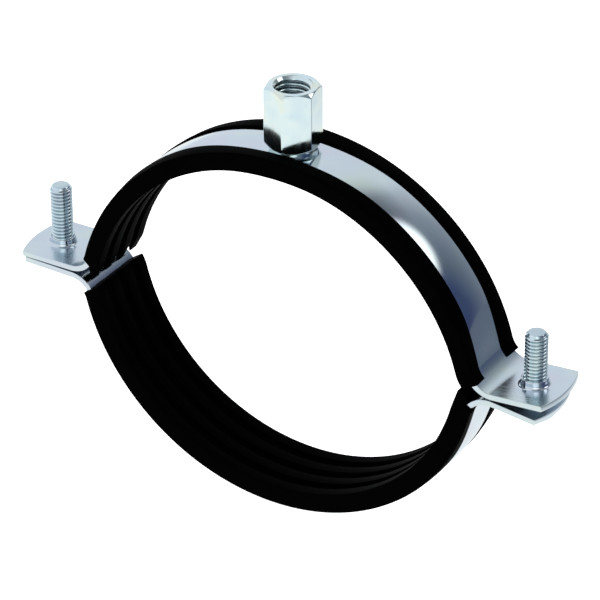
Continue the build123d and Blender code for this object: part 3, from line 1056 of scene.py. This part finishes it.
def soft_box_strength(tree, direction):
    """Strength of both soft boxes: each rises in a smooth step from its edge to where it is full."""
    strengths = [tree.spread(tree.towards(direction, middle), edge, full, 0.0, strength, "SMOOTHSTEP")
                 for middle, edge, full, strength in SOFT_BOXES]
    return tree.calculate("ADD", *strengths)


def surroundings():
    """White to the camera and through glass, a soft grey glow on all else, and in reflections a studio room.

    The room is pale on the left, falls off to dark blue on the far right, is dark overhead, and has two
    soft boxes, one behind and one in front, both to the right.
    """
    world = bpy.data.worlds.new("studio")
    bpy.context.scene.world = world
    world.use_nodes = True
    tree = NodeTree(world.node_tree)
    glow = tree.nodes["Background"]
    tree.fill(glow, {"Color": (*GLOW_COLOUR, 1), "Strength": GLOW_STRENGTH})
    white = tree.add("Background", {"Color": (1, 1, 1, 1), "Strength": 1.0})
    direction = tree.add("TexCoord", output="Generated")
    parts = tree.nodes.new("ShaderNodeSeparateXYZ")
    tree.fill(parts, {0: direction})
    x, y, z = parts.outputs
    walls = {"Color": room_colour(tree, x, y), "Strength": room_strength(tree, x, y, z)}
    boxes = {"Color": (*SOFT_BOX_COLOUR, 1), "Strength": soft_box_strength(tree, direction)}
    room = tree.add("AddShader", {0: tree.add("Background", walls), 1: tree.add("Background", boxes)})
    ray = tree.nodes.new("ShaderNodeLightPath")
    lit = tree.add("MixShader", {0: ray.outputs["Is Glossy Ray"], 1: glow.outputs[0], 2: room})
    seen = tree.calculate("MAXIMUM", ray.outputs["Is Camera Ray"], ray.outputs["Is Transmission Ray"])
    look = tree.add("MixShader", {0: seen, 1: lit, 2: white})
    tree.fill(tree.nodes["World Output"], {"Surface": look})


def soft_light(name, place, side, power, colour):
    """Square lamp aimed at the origin, hidden from reflections."""
    light = bpy.data.lights.new(name, "AREA")
    light.shape = "SQUARE"
    light.size = side
    light.energy = power
    light.color = colour
    lamp = bpy.data.objects.new(name, light)
    bpy.context.scene.collection.objects.link(lamp)
    lamp.location = place
    lamp.rotation_mode = "QUATERNION"
    lamp.rotation_quaternion = (-Vector(place)).to_track_quat("-Z", "Y")
    lamp.visible_glossy = False


# Camera: angles in radians, distances in millimetres
CAMERA_AZIMUTH = radians(31.57)
CAMERA_ELEVATION = radians(30.225)
CAMERA_ROLL = radians(-0.313)
CAMERA_DISTANCE = 927.94
CAMERA_RIGHT = 1.378  # how far it stands off the line to the middle, sideways and upwards
CAMERA_UP = 12.63
CAMERA_LENS = 216.27
SENSOR_WIDTH = 36.0


def camera():
    """Long lens camera turned CAMERA_AZIMUTH from the front and CAMERA_ELEVATION above the horizon."""
    back = Vector((sin(CAMERA_AZIMUTH) * cos(CAMERA_ELEVATION),
                   -cos(CAMERA_AZIMUTH) * cos(CAMERA_ELEVATION), sin(CAMERA_ELEVATION)))
    level = Vector((cos(CAMERA_AZIMUTH), sin(CAMERA_AZIMUTH), 0))
    rise = back.cross(level)
    right = level * cos(CAMERA_ROLL) + rise * sin(CAMERA_ROLL)
    up = rise * cos(CAMERA_ROLL) - level * sin(CAMERA_ROLL)
    place = (back * CAMERA_DISTANCE + right * CAMERA_RIGHT + up * CAMERA_UP) * METRES
    lens = bpy.data.cameras.new("camera")
    lens.lens = CAMERA_LENS
    lens.sensor_width = SENSOR_WIDTH
    lens.clip_start = 0.05
    lens.clip_end = 50.0
    view = bpy.data.objects.new("camera", lens)
    bpy.context.scene.collection.objects.link(view)
    turned = Matrix((right, up, back)).transposed().to_4x4()
    view.matrix_world = Matrix.Translation(place) @ turned
    bpy.context.scene.camera = view


bpy.context.scene.view_settings.view_transform = "Standard"
floor()
surroundings()
for lamp_name, lamp_values in LAMPS.items():
    soft_light(lamp_name, *lamp_values)
camera()
